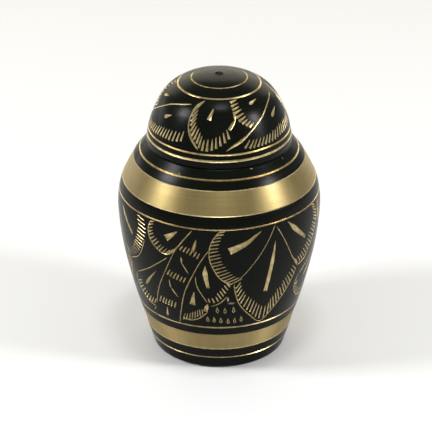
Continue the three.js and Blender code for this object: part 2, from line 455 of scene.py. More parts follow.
@dataclass
class Engraver:
    """Cuts motifs into a skin by hand, so that no two strokes are quite alike.

    Attributes:
        skin: The skin to cut.
        slope: Depth of a cut for each millimetre of its width.
        deepest: The deepest cut.
        step: Distance between points along a line.
        wander: How much a stroke's length and width differ, as a share.
        sway: How much a stroke's lean differs, in degrees.
        uneven: How much its place in a row differs, as a share of their spacing.
        heel: Length of the steep wall at a cut's square end.
        samples: Points that a curve is first drawn with, for each span between given points.
        fewest: The fewest points of a path.
        stroke_points: Points along a stroke of a fringe.
        rng: Where the differences come from.
    """

    skin: Skin
    slope: float = 0.42
    deepest: float = 0.3
    step: float = 0.55
    wander: float = 0.07
    sway: float = 1.7
    uneven: float = 0.06
    heel: float = 0.1
    samples: int = 24
    fewest: int = 5
    stroke_points: int = 7
    rng: np.random.Generator = field(default_factory=lambda: np.random.default_rng(HAND_SEED))

    def cuts(self, motif: Motif, turns: Sequence[float]) -> list[Cut]:
        """Cuts a motif once for each turn.

        Args:
            motif: What to cut.
            turns: Degrees round the axis of each repeat.

        Returns:
            All the cuts.
        """
        made = []
        for turn in turns:
            own = [self.line(each) for each in motif.lines]
            own += [self.gouge(each) for each in motif.gouges]
            for fringe in motif.fringes:
                own += self.fringe(fringe)
            made += [cut.moved(turn) for cut in own]
        return made

    def line(self, line: Line) -> Cut:
        """One narrow cut."""
        path = self.run(line.points, self.step)
        return self.shaped(path, self.varied(line.width), line.tool)

    def gouge(self, gouge: Gouge) -> Cut:
        """One broad cut, with points half as far apart."""
        path = self.run(gouge.points, self.step / 2)
        return self.shaped(path, self.varied(gouge.width), gouge.tool, floor=gouge.floor)

    def fringe(self, fringe: Fringe) -> list[Cut]:
        """Cuts a row of strokes.

        Args:
            fringe: The row.

        Returns:
            One cut for each stroke.
        """
        foot = self.run(fringe.foot, self.step)
        gone = travelled(Cut.flattened(self.skin, foot, foot[0, 0]))
        jitter = self.rng.uniform(-self.uneven, self.uneven, fringe.count)
        t = (np.arange(fringe.count) + 0.5 + jitter) / fringe.count
        made = []
        for each, size, lean in zip(t, spread(fringe.lengths, t), spread(fringe.leans, t)):
            start = read_at(foot, gone, each * gone[-1])
            length = self.varied(size)
            angle = math.radians(lean + self.rng.uniform(-self.sway, self.sway))
            path = self.stroke(start, length, angle)
            made.append(self.shaped(path, self.varied(fringe.width), Tool.BAR, tip=fringe.tip))
        return made

    def stroke(self, start: np.ndarray, length: float, angle: float) -> np.ndarray:
        """Draws one straight stroke of a fringe.

        Args:
            start: Degrees and millimetres along the profile at its foot.
            length: How long it is, in millimetres.
            angle: Its direction, in radians anticlockwise from the right.

        Returns:
            Degrees and millimetres along the profile.
        """
        rise = math.sin(angle) if self.skin.rises else -math.sin(angle)
        reach = np.linspace(0, length, self.stroke_points)
        along = start[1] + reach * rise
        per_degree = np.radians(1.0) * self.skin.radius_at(along)
        sideways = np.diff(reach) * math.cos(angle) / per_degree[1:]
        round_by = np.cumsum(np.concatenate([[0.0], sideways]))
        return np.stack([start[0] + round_by, along], axis=1)

    def varied(self, size: float) -> float:
        """A size as a hand would make it."""
        return size * (1 + self.rng.uniform(-self.wander, self.wander))

    def run(self, points: Sequence[Point], step: float) -> np.ndarray:
        """Draws a smooth path and spaces its points evenly.

        Args:
            points: Degrees and place of each point.
            step: Distance between the path's points, in millimetres.

        Returns:
            Degrees and millimetres along the profile.
        """
        curve = smooth_path(points, self.samples)
        curve[:, 1] = self.skin.along_at(curve[:, 1])
        gone = travelled(Cut.flattened(self.skin, curve, curve[0, 0]))
        even = np.linspace(0, gone[-1], max(self.fewest, round(gone[-1] / step) + 1))
        return read_at(curve, gone, even)

    def shaped(self, path: np.ndarray, width: float, tool: Tool, floor: float = 0.0, tip: float = 1.0) -> Cut:
        """Gives a path its width and depth.

        Args:
            path: Degrees and millimetres along the profile.
            width: Full width, in millimetres.
            tool: How the cut swells.
            floor: Share of the width that is flat at the bottom.
            tip: Share of the width at the tip of a bar.

        Returns:
            The cut.
        """
        gone = travelled(Cut.flattened(self.skin, path, path[0, 0]))
        t = gone / gone[-1]
        if tool.square_end is not None:
            wall = self.heel / gone[-1]
            even, t = t, np.sort(np.append(t, wall if tool.square_end == 0 else 1 - wall))
            path = read_at(path, even, t)
        half = width / 2 * tool.swell(t, tip)
        depth = np.minimum(2 * half * self.slope, self.deepest)
        if tool.square_end is not None:
            depth[tool.square_end] = 0.0
        return Cut(path, half, depth, floor)


@dataclass
class Stretch:
    """A stretch of a piece's surface, in one finish.

    Attributes:
        spots: Its points, in millimetres.
        faces: Three of its points for each triangle, facing out.
        coat: The finish.
        normals: The true direction of the skin at each point.
        turning: Where each point lies on the lathe.
        smooth: Whether it is shaded by its true directions, and not by its triangles' own.
    """

    spots: np.ndarray
    faces: np.ndarray
    coat: Coat
    normals: np.ndarray
    turning: np.ndarray
    smooth: bool


@dataclass
class Shell:
    """The stretches that close a piece, to be welded into one mesh.

    Attributes:
        stretches: The stretches.
        weld_digits: Decimals of a millimetre within which points are one.
        sharpest: The largest turn between triangles that stays smooth, in degrees.
    """

    stretches: list[Stretch]
    weld_digits: int = 4
    sharpest: float = 24.0

    def mesh(self, name: str) -> bpy.types.Mesh:
        """Welds the stretches into one closed mesh.

        Args:
            name: The mesh's name.

        Returns:
            The mesh, with each corner's normal set.
        """
        spots = np.vstack([each.spots for each in self.stretches])
        starts = np.cumsum([0, *(len(each.spots) for each in self.stretches)])
        faces = np.vstack([each.faces + start for each, start in zip(self.stretches, starts)])
        coats = np.concatenate([np.full(len(each.faces), int(each.coat)) for each in self.stretches])
        normals = np.vstack([each.normals * each.smooth for each in self.stretches])
        turning = np.vstack([each.turning for each in self.stretches])
        rounded = np.round(spots, self.weld_digits)
        _, first, weld = np.unique(rounded, axis=0, return_index=True, return_inverse=True)
        welded = weld.reshape(-1)[faces]
        whole = (welded != np.roll(welded, 1, axis=1)).all(1)
        welded, coats, faces = welded[whole], coats[whole], faces[whole]
        mesh = bpy.data.meshes.new(name)
        mesh.from_pydata((spots[first] * MM).tolist(), [], welded.tolist())
        mesh.polygons.foreach_set("material_index", coats.astype(np.int32))
        mesh.polygons.foreach_set("use_smooth", np.ones(len(welded), bool))
        place = mesh.attributes.new(TURNING, "FLOAT_VECTOR", "POINT")
        place.data.foreach_set("vector", turning[first].astype(np.float32).ravel())
        self.crease(mesh, coats)
        self.shade(mesh, normals[faces].reshape(-1, 3))
        return mesh

    def crease(self, mesh: bpy.types.Mesh, coats: np.ndarray) -> None:
        """Marks edges between finishes, and edges that turn sharply, as sharp.

        Args:
            mesh: The mesh.
            coats: The finish of each triangle.
        """
        mesh.update(calc_edges=True)
        edge_of = np.zeros(len(mesh.loops), np.int32)
        mesh.loops.foreach_get("edge_index", edge_of)
        normals = np.zeros(len(mesh.polygons) * 3, np.float32)
        mesh.polygons.foreach_get("normal", normals)
        normals = normals.reshape(-1, 3)
        face_of = np.repeat(np.arange(len(mesh.polygons)), 3)
        order = np.argsort(edge_of, kind="stable")
        edges, faces = edge_of[order], face_of[order]
        pair = np.flatnonzero(edges[1:] == edges[:-1])
        one, two = faces[pair], faces[pair + 1]
        sharp = np.zeros(len(mesh.edges), bool)
        turn = (normals[one] * normals[two]).sum(1) < math.cos(math.radians(self.sharpest))
        sharp[edges[pair]] = turn | (coats[one] != coats[two])
        mesh.attributes.new("sharp_edge", "BOOLEAN", "EDGE").data.foreach_set("value", sharp)

    @staticmethod
    def shade(mesh: bpy.types.Mesh, wanted: np.ndarray) -> None:
        """Sets the normal of each corner.

        Args:
            mesh: The mesh.
            wanted: The true direction at each corner, or zeros to keep the mesh's own.
        """
        own = np.zeros(len(mesh.loops) * 3, np.float32)
        mesh.corner_normals.foreach_get("vector", own)
        own = own.reshape(-1, 3)
        given = wanted.any(axis=1)
        own[given] = wanted[given]
        mesh.normals_split_custom_set(own.tolist())


@dataclass
class Depths:
    """How deep a skin is turned and cut.

    Attributes:
        skin: The skin.
        cuts: The graver's cuts.
        bends: Depth of the turning, by distance along the profile.
    """

    skin: Skin
    cuts: list[Cut]
    bends: dict[float, float]

    def cut_at(self, spots: np.ndarray) -> np.ndarray:
        """Finds the depth of the deepest cut.

        Args:
            spots: Degrees and millimetres along the profile.

        Returns:
            The depth at each spot, 0 where there is no cut.
        """
        deep = np.zeros(len(spots))
        for cut in self.cuts:
            np.maximum(deep, cut.sink(self.skin, spots), out=deep)
        return deep

    def at(self, spots: np.ndarray) -> np.ndarray:
        """Depth below the round skin at spots, turned or cut."""
        turned = np.interp(spots[:, 1], list(self.bends), list(self.bends.values()), left=0.0, right=0.0)
        return np.maximum(turned, self.cut_at(spots))

    def clear(self, spots: np.ndarray, gap: float) -> np.ndarray:
        """Tells which spots stand clear of every cut by a gap.

        Args:
            spots: Degrees and millimetres along the profile.
            gap: The least distance from a cut's edge.

        Returns:
            True for each spot that is clear.
        """
        free = np.ones(len(spots), bool)
        for cut in self.cuts:
            wider = Cut(cut.path, cut.half + gap, np.ones(len(cut.path)))
            free &= wider.sink(self.skin, spots) <= 0
        return free


class Net:
    """Lines and points on an unrolled skin, to be joined into triangles.

    Attributes:
        GIRTH: Share of the largest radius at which all of the skin is laid flat.
        MERGE: Distance within which points are one, in millimetres.
        NARROWEST: Half width past which a cut has two edges.
    """

    GIRTH = 0.85
    MERGE = 1e-4
    NARROWEST = 1e-4

    def __init__(self, skin: Skin) -> None:
        """Starts an empty net.

        Args:
            skin: The skin that the net lies on.
        """
        self.skin = skin
        self.per_degree = math.radians(1.0) * float(skin.radius.max()) * self.GIRTH
        self.spots: list[np.ndarray] = []
        self.edges: list[tuple[int, int]] = []
        self.size = 0

    def points(self, spots: np.ndarray) -> range:
        """Adds loose points.

        Args:
            spots: Degrees and millimetres along the profile.

        Returns:
            Their numbers.
        """
        self.spots.append(spots)
        numbers = range(self.size, self.size + len(spots))
        self.size += len(spots)
        return numbers

    def path(self, spots: np.ndarray) -> None:
        """Adds a line of edges through spots."""
        numbers = self.points(spots)
        self.edges += list(zip(numbers, numbers[1:]))

    def cut(self, cut: Cut) -> None:
        """Adds a cut's two edges and the lines along its bottom.

        Args:
            cut: The cut.
        """
        wide = np.flatnonzero(cut.half > self.NARROWEST)
        first, last = max(wide[0] - 1, 0), min(wide[-1] + 1, len(cut.half) - 1)
        inner = slice(wide[0], wide[-1] + 1)
        start, end = cut.path[first], cut.path[last]
        for share in (-1.0, 1.0) if cut.floor else (-1.0, 1.0, 0.0):
            self.path(np.vstack([start, cut.rails(self.skin, share)[inner], end]))
        for share in (-cut.floor, cut.floor) if cut.floor else ():
            self.path(cut.rails(self.skin, share)[inner])

    def triangles(self) -> tuple[np.ndarray, np.ndarray]:
        """Joins everything.

        Returns:
            The spots in degrees and millimetres along the profile, and the triangles.
        """
        flat = np.vstack(self.spots) * (self.per_degree, 1.0)
        corners = [Vector(spot) for spot in flat.tolist()]
        joined = delaunay_2d_cdt(corners, self.edges, [], 0, self.MERGE, False)
        spots = np.array([tuple(spot) for spot in joined[0]]) / (self.per_degree, 1.0)
        return spots, np.array(joined[2], int)


@dataclass
class PlainRound:
    """A plain stretch of a turned piece, as rows of its profile.

    Attributes:
        rows: Radius and height of each row, so that the surface faces to the right of their run.
        coat: The finish.
        smooth: Whether the rows are shaded as one round form.
    """

    rows: np.ndarray
    coat: Coat
    smooth: bool = False


def put(name: str, data: bpy.types.ID) -> bpy.types.Object:
    """Puts a mesh, lamp or camera in the scene.

    Args:
        name: The object's name.
        data: What it shows.

    Returns:
        The object.
    """
    made = bpy.data.objects.new(name, data)
    bpy.context.scene.collection.objects.link(made)
    return made


@dataclass
class TurnedPiece:
    """A hollow piece turned on a lathe, with rings, bands and engraving in its skin.

    Attributes:
        node: The solid that the piece stands for.
        ring_places: Place on the skin of each turned ring, and its width in millimetres.
        band_places: Places on the skin where each bare band starts and ends.
        turns: Degrees round the axis of each repeat of the engraving.
        wall: Thickness of the wall.
        seam_edge: How far the edge at the seam between body and lid is eased.
        ring_depth: Depth of a turned ring.
        band_edge: Width of the bright wall along each edge of a band.
        band_depth: Depth of a band.
        least_cut: Depth of a cut from which the brass shows.
        columns: Points round the axis.
        row: Distance between plain rows of the skin, in millimetres.
        clearance: Least distance from a cut to a plain point of the skin.
        margin: Degrees of skin laid past the join at the back, so that both its sides match.
    """

    node: str
    ring_places: Route = ()
    band_places: Route = ()
    turns: Triple = (-117.0, 0.0, 117.0)
    wall: float = 1.6
    seam_edge: float = 0.25
    ring_depth: float = 0.22
    band_edge: float = 0.22
    band_depth: float = 0.13
    least_cut: float = 0.004
    columns: int = 180
    row: float = 1.1
    clearance: float = 0.25
    margin: float = 14.0

    def skin(self) -> Skin:
        """The piece's outside."""
        raise NotImplementedError

    def span(self, skin: Skin) -> Point:
        """Where the engraved stretch of skin starts and ends, in millimetres along the profile."""
        raise NotImplementedError

    def engraving(self, skin: Skin) -> list[Cut]:
        """All the cuts in the skin."""
        raise NotImplementedError

    def rest(self, skin: Skin) -> list[PlainRound]:
        """The plain stretches that close the piece."""
        raise NotImplementedError

    def sizes(self) -> Point:
        """Largest radius and highest point of the solid, in millimetres."""
        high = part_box(self.node)[1]
        return high.x / MM, high.z / MM

    def rings(self, skin: Skin) -> list[Point]:
        """Middle and width of each turned ring, in millimetres along the profile."""
        return [(float(skin.along_at(place)), width) for place, width in self.ring_places]

    def bands(self, skin: Skin) -> list[Point]:
        """Start and end of each bare band, in millimetres along the profile."""
        return [(float(skin.along_at(start)), float(skin.along_at(end))) for start, end in self.band_places]

    def lathe_rows(self, skin: Skin) -> dict[float, float]:
        """Finds the depth of the turned skin at each place where it bends.

        Args:
            skin: The piece's outside.

        Returns:
            Depth by distance along the profile.
        """
        rows = {}
        for middle, width in self.rings(skin):
            rows.update({middle - width / 2: 0.0, middle: self.ring_depth, middle + width / 2: 0.0})
        for start, end in self.bands(skin):
            rows.update({start: 0.0, start + self.band_edge: self.band_depth})
            rows.update({end - self.band_edge: self.band_depth, end: 0.0})
        return dict(sorted(rows.items()))

    def coat_at(self, skin: Skin, along: np.ndarray) -> np.ndarray:
        """Finds the finish that turning alone leaves.

        Args:
            skin: The piece's outside.
            along: Distances along the profile.

        Returns:
            The finish at each of them.
        """
        coats = np.full(len(along), int(Coat.LACQUER))
        for middle, width in self.rings(skin):
            coats[np.abs(along - middle) < width / 2] = Coat.CUT
        for start, end in self.bands(skin):
            inside = (along > start) & (along < end)
            wall = np.minimum(along - start, end - along) < self.band_edge
            coats[inside] = Coat.BAND
            coats[inside & wall] = Coat.CUT
        return coats

    def cuts_past_join(self, skin: Skin) -> list[Cut]:
        """Takes every cut, with those near the join at the back on both its sides.

        Args:
            skin: The piece's outside.

        Returns:
            The cuts.
        """
        reach = FULL_TURN / 2 + self.margin
        cuts = []
        for cut in self.engraving(skin):
            for turn in (-FULL_TURN, 0.0, FULL_TURN):
                moved = cut.moved(turn)
                if moved.path[:, 0].max() > -reach and moved.path[:, 0].min() < reach:
                    cuts.append(moved)
        return cuts

    def net(self, skin: Skin, depths: Depths) -> Net:
        """Lays out the lines and points that the engraved skin is joined from.

        Args:
            skin: The piece's outside.
            depths: Its turning and its cuts.

        Returns:
            The net.
        """
        low, high = self.span(skin)
        pitch = FULL_TURN / self.columns
        past = math.ceil(self.margin / pitch)
        columns = (np.arange(self.columns + 2 * past + 1) - self.columns / 2 - past) * pitch
        creases = np.array([low, *depths.bends, high])
        plain = self.plain_rows(creases)
        net = Net(skin)
        for along in creases:
            net.path(np.stack([columns, np.full(len(columns), along)], axis=1))
        grid = np.stack(np.meshgrid(columns, plain), axis=-1).reshape(-1, 2)
        net.points(grid[depths.clear(grid, self.clearance)])
        rows = np.sort(np.concatenate([creases, plain]))
        for join in (-FULL_TURN / 2, FULL_TURN / 2):
            net.path(np.stack([np.full(len(rows), join), rows], axis=1))
        for cut in depths.cuts:
            net.cut(cut)
        return net

    def sheet(self, skin: Skin) -> list[Stretch]:
        """Makes the engraved skin, one net of triangles that follows every cut.

        Args:
            skin: The piece's outside.

        Returns:
            A stretch for each finish.
        """
        depths = Depths(skin, self.cuts_past_join(skin), self.lathe_rows(skin))
        spots, faces = self.net(skin, depths).triangles()
        middle = spots[faces].mean(1)
        once_round = np.abs(middle[:, 0]) < FULL_TURN / 2
        faces, middle = faces[once_round], middle[once_round]
        coats = self.coat_at(skin, middle[:, 1])
        coats[depths.cut_at(middle) > self.least_cut] = Coat.CUT
        if not skin.rises:
            faces = faces[:, ::-1]
        degrees, along = spots.T
        solid = wheel(degrees, *skin.profile(along, depths.at(spots)).T)
        normals = wheel(degrees, *skin.normal(along).T)
        turning = lathe_places(degrees, along)
        made = []
        for coat in Coat:
            chosen = faces[coats == coat]
            if len(chosen):
                smooth = coat in (Coat.LACQUER, Coat.BAND)
                made.append(Stretch(solid, chosen, coat, normals, turning, smooth))
        return made

    def plain_rows(self, creases: np.ndarray) -> np.ndarray:
        """Rows that keep the skin round between its creases.

        Args:
            creases: Distances along the profile where the skin bends.

        Returns:
            Distances along the profile of the rows between them.
        """
        rows = []
        for start, end in zip(creases, creases[1:]):
            parts = round((end - start) / self.row)
            if parts > 1:
                rows.append(np.linspace(start, end, parts + 1)[1:-1])
        return np.concatenate(rows)

    def revolve(self, plain: PlainRound) -> Stretch:
        """Turns rows of the profile round the axis.

        Args:
            plain: The rows.

        Returns:
            The surface.
        """
        rows = plain.rows
        count = self.columns
        turn = np.tile((np.arange(count) - count / 2) * FULL_TURN / count, len(rows))
        here = np.arange(count)
        ahead = (here + 1) % count
        faces = []
        for start in range(0, (len(rows) - 1) * count, count):
            end = start + count
            faces.append(np.stack([start + here, start + ahead, end + ahead], axis=1))
            faces.append(np.stack([start + here, end + ahead, end + here], axis=1))
        spots = wheel(turn, *np.repeat(rows, count, axis=0).T)
        steps = unit(np.gradient(rows, axis=0))
        normals = wheel(turn, np.repeat(steps[:, 1], count), np.repeat(-steps[:, 0], count))
        turning = lathe_places(turn, np.repeat(travelled(rows), count))
        return Stretch(spots, np.vstack(faces), plain.coat, normals, turning, plain.smooth)

    def build(self, finishes: Sequence[bpy.types.Material]) -> bpy.types.Object:
        """Makes the piece and puts it in the place of its solid.

        Args:
            finishes: A material for each coat, in order.

        Returns:
            The piece.
        """
        skin = self.skin()
        shell = Shell(self.sheet(skin) + [self.revolve(plain) for plain in self.rest(skin)])
        mesh = shell.mesh(self.node + "_dressed")
        for finish in finishes:
            mesh.materials.append(finish)
        piece = put(self.node + "_dressed", mesh)
        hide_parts(self.node)
        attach(piece, BODY)
        LOG.info("%s: %d triangles", piece.name, len(mesh.polygons))
        return piece


FAN_ROOT: Point = (33.0, 44.4)
FAN_LEFT = ((0.5, 44.5), (-3.2, 42.4), (-5.4, 39.5), (-5.3, 36.2), (-2.4, 32.7), (1.5, 30.2), (7.6, 28.5))
FAN_MIDDLE = (
    (8.7, 28.9), (9.6, 26.0), (13.0, 21.8), (21.0, 17.6), (28.6, 15.1),
    (35.5, 17.4), (44.4, 21.8), (48.6, 24.7), (52.0, 28.2),
)
FAN_RIGHT = ((52.2, 29.2), (60.0, 30.2), (67.0, 33.6), (71.0, 38.0))
FAN_MIDDLE_FOOT = (
    (9.9, 28.2), (10.6, 25.6), (13.7, 22.2), (20.0, 19.0), (25.3, 16.5), (30.8, 15.8), (34.8, 17.1),
)
FAN_SIDE_FOOT = ((34.8, 17.7), (40.2, 20.2), (45.6, 22.9), (49.6, 26.0), (52.4, 28.7))
FAN_RIGHT_FOOT = (
    (51.4, 29.8), (58.0, 30.8), (64.5, 33.0), (69.0, 36.0), (71.6, 39.4), (70.9, 42.0), (68.6, 44.1),
)

FLATTER_RIGHT = ((52.2, 29.2), (57.0, 30.3), (61.0, 31.2), (64.5, 32.7), (67.6, 34.9), (70.4, 37.9))
FLATTER_FOOT = (
    (53.0, 30.4), (59.0, 31.6), (64.0, 33.4), (67.6, 35.8), (70.8, 39.0), (71.4, 41.6), (69.4, 43.9),
)


def fan_leaf(edge: Line, gouge: Gouge, fringe: Fringe) -> Motif:
    """Draws a fan leaf of three lobes.

    Args:
        edge: Edge of the right lobe.
        gouge: The broad cut in the right lobe.
        fringe: The strokes round the right lobe.

    Returns:
        The leaf.
    """
    return Motif(
        lines=(
            Line(FAN_LEFT, 0.22),
            Line(FAN_MIDDLE, 0.24),
            edge,
            Line((FAN_ROOT, (24.6, 37.6), (16.0, 32.3), (11.0, 30.0)), 0.24),
            Line(((33.6, 43.8), (38.6, 39.7), (43.6, 35.4), (48.4, 31.6)), 0.2),
            Line(((47.6, 32.6), (52.4, 29.4)), 0.46, Tool.LENS),
            Line(((3.6, 29.8), (6.5, 28.6)), 0.62, Tool.LENS),
        ),
        gouges=(
            Gouge(((24.2, 43.5), (20.0, 42.3), (14.5, 40.6), (5.6, 38.8)), 1.9, Tool.DART),
            Gouge(((32.8, 39.9), (31.5, 34.0), (28.9, 24.9)), 1.1),
            gouge,
        ),
        fringes=(
            Fringe(FAN_LEFT, 18, (1.7, 3.1, 3.6), (7.0, 14.0, 29.0), 0.41),
            Fringe(FAN_MIDDLE_FOOT, 13, (2.2, 3.7, 4.7), (58.0, 72.0, 93.0), 0.37),
            Fringe(FAN_SIDE_FOOT, 12, (4.1, 3.8, 2.6), (97.0, 116.0, 134.0), 0.35),
            fringe,
        ),
    )


FAN_LEAF = fan_leaf(
    Line(FAN_RIGHT, 0.22),
    Gouge(((41.8, 43.9), (48.0, 40.8), (57.2, 36.9)), 1.4, Tool.BLADE),
    Fringe(FAN_RIGHT_FOOT, 19, (2.4, 3.4, 2.4), (121.0, 142.0, 158.0), 0.4),
)
FLATTER_FAN_LEAF = fan_leaf(
    Line(FLATTER_RIGHT, 0.23),
    Gouge(((45.5, 43.4), (52.0, 40.6), (59.0, 37.5)), 0.85, Tool.WEDGE, 0.0),
    Fringe(FLATTER_FOOT, 15, (2.2, 3.2, 2.9), (134.0, 164.0, 170.0), 0.18, 0.8),
)

SPRAY_STEM = ((-5.6, 39.2), (-10.2, 35.9), (-15.4, 31.2), (-21.0, 25.6), (-24.6, 20.2), (-28.0, 14.5))
LOBE_HIGH = ((-41.8, 44.4), (-43.4, 41.8), (-41.8, 38.9), (-36.4, 36.6), (-30.8, 36.1), (-25.2, 37.9))
LOBE_FAR = ((-60.0, 26.0), (-62.4, 23.4), (-60.4, 20.4), (-54.6, 18.2))
FAR_FOOT = ((-62.0, 23.4), (-60.4, 20.6), (-54.0, 18.6), (-46.0, 18.3))
LOBE_FOOT = ((-25.6, 15.7), (-23.6, 16.4), (-18.4, 16.5), (-13.6, 17.2), (-7.8, 19.4))
LOBE_STROKES = ((-25.4, 16.5), (-18.0, 17.0), (-12.6, 18.2), (-9.8, 18.9))
LOBE_NEAR = ((-5.6, 21.6), (-2.2, 22.1), (0.0, 22.7), (2.2, 23.5), (4.8, 25.0))
NEAR_FOOT = ((-7.0, 22.9), (-2.1, 22.9), (0.1, 23.6), (1.9, 24.4), (4.4, 26.4), (6.8, 28.5))


def spray(far_fringe: Fringe) -> Motif:
    """Draws a spray of stems, lobes and leaves between two fan leaves.

    Args:
        far_fringe: The strokes round the lobe at its far left.

    Returns:
        The spray.
    """
    return Motif(
        lines=(
            Line(((-15.2, 44.3), (-20.0, 41.4), (-25.4, 37.9)), 0.3),
            Line(((-25.0, 38.2), (-28.8, 34.6), (-33.0, 30.6), (-39.4, 24.9), (-45.0, 18.7)), 0.2),
            Line(SPRAY_STEM, 0.22),
            Line(LOBE_HIGH, 0.26),
            Line(((-30.6, 35.1), (-45.0, 29.9), (-59.6, 25.9)), 0.22),
            Line(LOBE_FAR, 0.26),
            Line(((-46.4, 17.3), (-49.6, 15.8)), 0.28),
            Line(((-57.0, 18.4), (-52.0, 17.9), (-46.8, 17.3)), 0.48, Tool.LENS),
            Line(LOBE_FOOT, 0.28),
            Line(((-24.0, 16.4), (-18.6, 16.4), (-14.4, 17.0)), 0.44, Tool.LENS),
            Line(LOBE_NEAR, 0.36, Tool.LENS),
            Line(((-21.8, 36.4), (-21.5, 34.1)), 0.38, Tool.LENS),
            Line(((-21.6, 34.5), (-17.6, 31.3)), 0.29),
            Line(((-30.8, 28.5), (-30.6, 26.6), (-29.9, 25.7)), 0.29),
            Line(((-30.0, 25.9), (-28.2, 24.6), (-25.8, 23.2)), 0.36, Tool.LENS),
            Line(((-13.8, 31.0), (-13.5, 28.6), (-11.8, 26.4), (-7.2, 22.7)), 0.21),
        ),
        gouges=(
            Gouge(((-23.9, 43.3), (-31.0, 40.8)), 1.75, Tool.DART),
            Gouge(((-12.8, 41.9), (-14.9, 38.3)), 0.75),
            Gouge(((-39.2, 30.0), (-46.0, 26.6), (-51.8, 23.6)), 0.8, Tool.DROP, 0.0),
            Gouge(((-35.8, 18.9), (-37.3, 15.7)), 0.62, Tool.DROP, 0.0),
            Gouge(((-15.2, 26.0), (-17.0, 21.7)), 1.45, Tool.DART),
            Gouge(((-7.9, 34.5), (-8.0, 31.6), (-6.5, 27.6)), 1.35, Tool.BLADE),
            Gouge(((-7.2, 22.4), (-8.9, 19.7)), 1.1, Tool.WEDGE),
        ),
        fringes=(
            Fringe(LOBE_HIGH, 15, (1.4, 2.5, 2.1), (12.0, 44.0, 55.0), 0.52, 0.3),
            Fringe(((-23.4, 38.5), (-17.8, 37.5), (-11.6, 36.3)), 6, (1.7, 1.9, 1.8), (56.0, 60.0, 64.0)),
            Fringe(((-32.8, 30.0), (-26.6, 29.0), (-20.4, 28.4)), 6, (2.2, 2.2, 1.9), (58.0, 63.0, 66.0)),
            Fringe(((-42.4, 20.2), (-36.0, 19.7), (-28.8, 19.6)), 6, (2.3, 2.3, 2.2), (64.0, 68.0, 71.0)),
            far_fringe,
            Fringe(LOBE_STROKES, 8, (1.8, 2.5, 2.1), (68.0, 83.0, 95.0), 0.3, 0.6),
            Fringe(NEAR_FOOT, 8, (1.4, 2.3, 1.8), (104.0, 120.0, 122.0), 0.4),
        ),
    )


SPRAY = spray(Fringe(FAR_FOOT, 9, (2.6, 3.0, 2.0), (24.0, 44.0, 64.0)))
SPARER_SPRAY = spray(Fringe(FAR_FOOT, 8, (1.4, 1.7, 1.4), (24.0, 44.0, 64.0), 0.3))

DROP_TIPS = (
    (-1.4, 21.5), (3.5, 21.3), (9.0, 21.4),
    (-7.7, 18.3), (-3.5, 18.2), (0.9, 18.0), (5.8, 17.7), (10.1, 17.8), (14.4, 18.1),
)
DROP_OUTLINE = (
    (0.0, 0.0), (0.65, 0.5), (1.0, 0.76), (0.55, 0.97), (-0.55, 0.97), (-1.0, 0.76), (-0.65, 0.5), (0.0, 0.0),
)
ODD_DROP = Line(((5.2, 24.8), (5.5, 23.1)), 0.45, Tool.LENS)


def seed_drops(length: float = 1.95, slant: float = 0.35, half: float = 0.82, width: float = 0.21) -> Motif:
    """Draws the rows of small drops between the leaves, each cut round a dark heart.

    Args:
        length: From tip to heel, in millimetres.
        slant: How far a heel stands to the right of its tip, in degrees.
        half: Half the width of a drop along the middle of its cut, in degrees.
        width: Width of the cut, in millimetres.

    Returns:
        The drops, pointing up.
    """
    drops = []
    for x, z in DROP_TIPS:
        loop = tuple((x + slant * down + half * side, z - length * down) for side, down in DROP_OUTLINE)
        drops.append(Line(loop, width))
    return Motif(lines=(*drops, ODD_DROP))


CHIPS = Motif(
    gouges=tuple(
        Gouge((start, end), width, Tool.DROP, 0.0)
        for start, end, width in (
            ((-59.2, 56.0), (-58.0, 55.9), 0.45),
            ((-30.4, 56.5), (-29.6, 56.0), 0.5),
            ((24.0, 57.6), (26.4, 57.5), 0.3),
            ((56.6, 57.6), (56.9, 57.0), 0.2),
            ((36.6, 54.2), (37.6, 54.1), 0.3),
        )
    )
)

ROUND_LEFT = ((-19.0, 40.0), (-26.0, 46.5), (-29.2, 56.0), (-28.4, 66.0), (-24.0, 74.0), (-17.0, 81.4))
ROUND_INNER = ((-28.0, 65.0), (-23.2, 73.2), (-17.6, 80.2))
ROUND_FOOT = (
    (-27.6, 53.5), (-27.2, 62.0), (-24.4, 70.0), (-19.2, 75.8), (-15.2, 81.0),
    (-8.0, 81.2), (-1.0, 78.2), (6.0, 73.8), (9.8, 70.2),
)
SIDE_FOOT = ((13.8, 39.6), (13.8, 46.0), (16.6, 55.0), (21.6, 60.4), (29.6, 65.0))

ROUND_LEAF = Motif(
    lines=(
        Line(ROUND_LEFT, 0.3),
        Line(ROUND_INNER, 0.26),
        Line(((-18.2, 39.6), (-25.4, 46.4), (-28.8, 55.0)), 0.95, Tool.LENS),
        Line(((14.4, 49.5), (15.4, 54.0), (14.6, 58.2)), 0.5, Tool.LENS),
    ),
    gouges=(
        Gouge(((15.6, 56.4), (9.0, 64.4)), 0.8),
        Gouge(((-6.2, 46.6), (-10.2, 56.4)), 1.1, Tool.DART, 0.0),
    ),
    fringes=(
        Fringe(ROUND_FOOT, 15, (2.5, 3.2, 2.5), (56.0, 80.0, 104.0), 0.6, 0.3),
        Fringe(SIDE_FOOT, 9, (2.0, 2.5, 1.7), (17.0, 23.0, 32.0), 0.74, 0.3),
    ),
)

STEM = ((16.0, 75.6), (30.0, 67.3), (45.0, 58.9), (60.0, 51.6), (84.0, 45.4))
STEM_FOOT = ((5.2, 81.6), (10.0, 78.4), (18.0, 74.5), (30.0, 67.3))
TRAIL_FOOT = ((19.5, 79.6), (28.0, 81.3), (48.0, 80.8), (62.0, 79.6), (76.0, 79.0), (85.5, 76.4))


